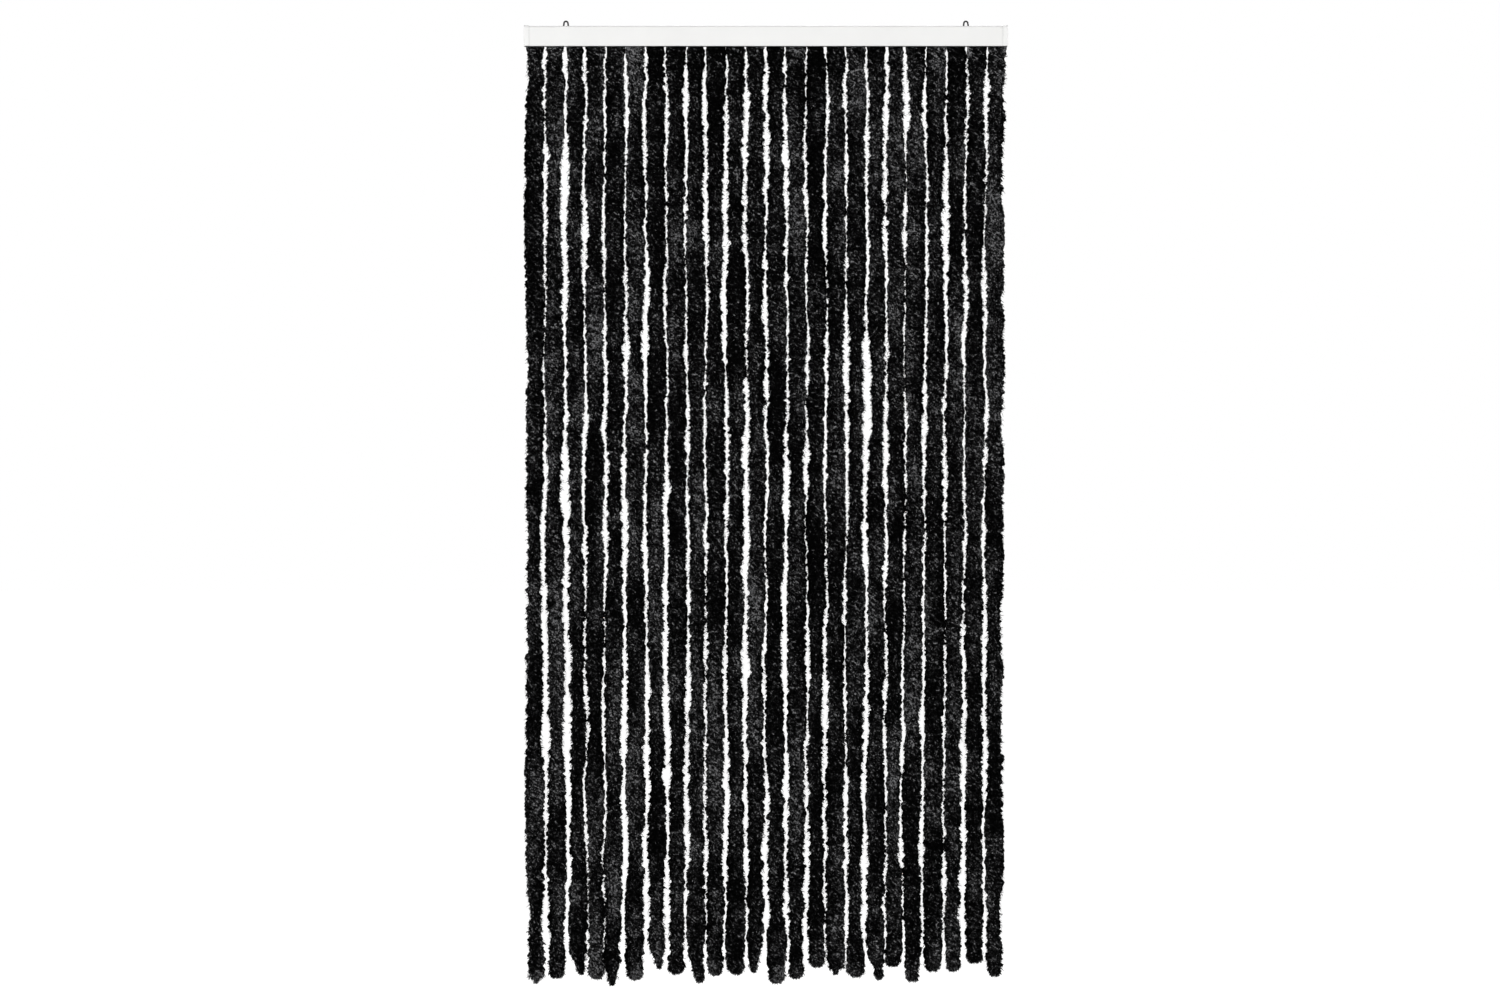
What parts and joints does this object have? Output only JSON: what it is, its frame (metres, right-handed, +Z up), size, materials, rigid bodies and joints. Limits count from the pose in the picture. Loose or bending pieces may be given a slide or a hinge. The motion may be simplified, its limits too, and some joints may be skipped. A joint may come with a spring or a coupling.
{
  "type": "chenille door curtain",
  "caption": "Door fly curtain: a pale channel rail with end caps and wire hangers carries a row of shaggy black chenille strands, each swinging on its own hook.",
  "frame": {"origin": "midway between the wire hangers, level with the underside of their loops, where the curtain hangs", "axes": "+X along the rail to the right as seen from the front, +Y towards the back, +Z up; the front faces -Y"},
  "size_m": [1, 0.033, 1.9922],
  "materials": {
    "rail_plastic": "satin extruded plastic",
    "cap_plastic": "satin moulded plastic",
    "strip_plastic": "plain moulded plastic",
    "hanger_steel": "dark drawn wire",
    "chenille": "shaggy chenille pile"
  },
  "bodies": {
    "rail_frame": {"rail": "rail_plastic", "end_cap_left": "cap_plastic", "end_cap_right": "cap_plastic", "hanger_left": "hanger_steel", "hanger_right": "hanger_steel", "hook_strip": "strip_plastic"},
    "strand_01": {"strand_01": "chenille"},
    "strand_02": {"strand_02": "chenille"},
    "strand_03": {"strand_03": "chenille"},
    "strand_04": {"strand_04": "chenille"},
    "strand_05": {"strand_05": "chenille"},
    "strand_06": {"strand_06": "chenille"},
    "strand_07": {"strand_07": "chenille"},
    "strand_08": {"strand_08": "chenille"},
    "strand_09": {"strand_09": "chenille"},
    "strand_10": {"strand_10": "chenille"},
    "strand_11": {"strand_11": "chenille"},
    "strand_12": {"strand_12": "chenille"},
    "strand_13": {"strand_13": "chenille"},
    "strand_14": {"strand_14": "chenille"},
    "strand_15": {"strand_15": "chenille"},
    "strand_16": {"strand_16": "chenille"},
    "strand_17": {"strand_17": "chenille"},
    "strand_18": {"strand_18": "chenille"},
    "strand_19": {"strand_19": "chenille"},
    "strand_20": {"strand_20": "chenille"},
    "strand_21": {"strand_21": "chenille"},
    "strand_22": {"strand_22": "chenille"},
    "strand_23": {"strand_23": "chenille"},
    "strand_24": {"strand_24": "chenille"}
  },
  "joints": [
    {"name": "strand_01_swing", "type": "hinge", "parent": "rail_frame", "child": "strand_01", "pos_m": [-0.47725, 0, -0.0554], "axis": [1, 0, 0], "range_deg": [-60, 60]},
    {"name": "strand_02_swing", "type": "hinge", "parent": "rail_frame", "child": "strand_02", "pos_m": [-0.43575, 0, -0.0554], "axis": [1, 0, 0], "range_deg": [-60, 60]},
    {"name": "strand_03_swing", "type": "hinge", "parent": "rail_frame", "child": "strand_03", "pos_m": [-0.39425, 0, -0.0554], "axis": [1, 0, 0], "range_deg": [-60, 60]},
    {"name": "strand_04_swing", "type": "hinge", "parent": "rail_frame", "child": "strand_04", "pos_m": [-0.35275, 0, -0.0554], "axis": [1, 0, 0], "range_deg": [-60, 60]},
    {"name": "strand_05_swing", "type": "hinge", "parent": "rail_frame", "child": "strand_05", "pos_m": [-0.31125, 0, -0.0554], "axis": [1, 0, 0], "range_deg": [-60, 60]},
    {"name": "strand_06_swing", "type": "hinge", "parent": "rail_frame", "child": "strand_06", "pos_m": [-0.26975, 0, -0.0554], "axis": [1, 0, 0], "range_deg": [-60, 60]},
    {"name": "strand_07_swing", "type": "hinge", "parent": "rail_frame", "child": "strand_07", "pos_m": [-0.22825, 0, -0.0554], "axis": [1, 0, 0], "range_deg": [-60, 60]},
    {"name": "strand_08_swing", "type": "hinge", "parent": "rail_frame", "child": "strand_08", "pos_m": [-0.18675, 0, -0.0554], "axis": [1, 0, 0], "range_deg": [-60, 60]},
    {"name": "strand_09_swing", "type": "hinge", "parent": "rail_frame", "child": "strand_09", "pos_m": [-0.14525, 0, -0.0554], "axis": [1, 0, 0], "range_deg": [-60, 60]},
    {"name": "strand_10_swing", "type": "hinge", "parent": "rail_frame", "child": "strand_10", "pos_m": [-0.10375, 0, -0.0554], "axis": [1, 0, 0], "range_deg": [-60, 60]},
    {"name": "strand_11_swing", "type": "hinge", "parent": "rail_frame", "child": "strand_11", "pos_m": [-0.06225, 0, -0.0554], "axis": [1, 0, 0], "range_deg": [-60, 60]},
    {"name": "strand_12_swing", "type": "hinge", "parent": "rail_frame", "child": "strand_12", "pos_m": [-0.02075, 0, -0.0554], "axis": [1, 0, 0], "range_deg": [-60, 60]},
    {"name": "strand_13_swing", "type": "hinge", "parent": "rail_frame", "child": "strand_13", "pos_m": [0.02075, 0, -0.0554], "axis": [1, 0, 0], "range_deg": [-60, 60]},
    {"name": "strand_14_swing", "type": "hinge", "parent": "rail_frame", "child": "strand_14", "pos_m": [0.06225, 0, -0.0554], "axis": [1, 0, 0], "range_deg": [-60, 60]},
    {"name": "strand_15_swing", "type": "hinge", "parent": "rail_frame", "child": "strand_15", "pos_m": [0.10375, 0, -0.0554], "axis": [1, 0, 0], "range_deg": [-60, 60]},
    {"name": "strand_16_swing", "type": "hinge", "parent": "rail_frame", "child": "strand_16", "pos_m": [0.14525, 0, -0.0554], "axis": [1, 0, 0], "range_deg": [-60, 60]},
    {"name": "strand_17_swing", "type": "hinge", "parent": "rail_frame", "child": "strand_17", "pos_m": [0.18675, 0, -0.0554], "axis": [1, 0, 0], "range_deg": [-60, 60]},
    {"name": "strand_18_swing", "type": "hinge", "parent": "rail_frame", "child": "strand_18", "pos_m": [0.22825, 0, -0.0554], "axis": [1, 0, 0], "range_deg": [-60, 60]},
    {"name": "strand_19_swing", "type": "hinge", "parent": "rail_frame", "child": "strand_19", "pos_m": [0.26975, 0, -0.0554], "axis": [1, 0, 0], "range_deg": [-60, 60]},
    {"name": "strand_20_swing", "type": "hinge", "parent": "rail_frame", "child": "strand_20", "pos_m": [0.31125, 0, -0.0554], "axis": [1, 0, 0], "range_deg": [-60, 60]},
    {"name": "strand_21_swing", "type": "hinge", "parent": "rail_frame", "child": "strand_21", "pos_m": [0.35275, 0, -0.0554], "axis": [1, 0, 0], "range_deg": [-60, 60]},
    {"name": "strand_22_swing", "type": "hinge", "parent": "rail_frame", "child": "strand_22", "pos_m": [0.39425, 0, -0.0554], "axis": [1, 0, 0], "range_deg": [-60, 60]},
    {"name": "strand_23_swing", "type": "hinge", "parent": "rail_frame", "child": "strand_23", "pos_m": [0.43575, 0, -0.0554], "axis": [1, 0, 0], "range_deg": [-60, 60]},
    {"name": "strand_24_swing", "type": "hinge", "parent": "rail_frame", "child": "strand_24", "pos_m": [0.47725, 0, -0.0554], "axis": [1, 0, 0], "range_deg": [-60, 60]}
  ]
}
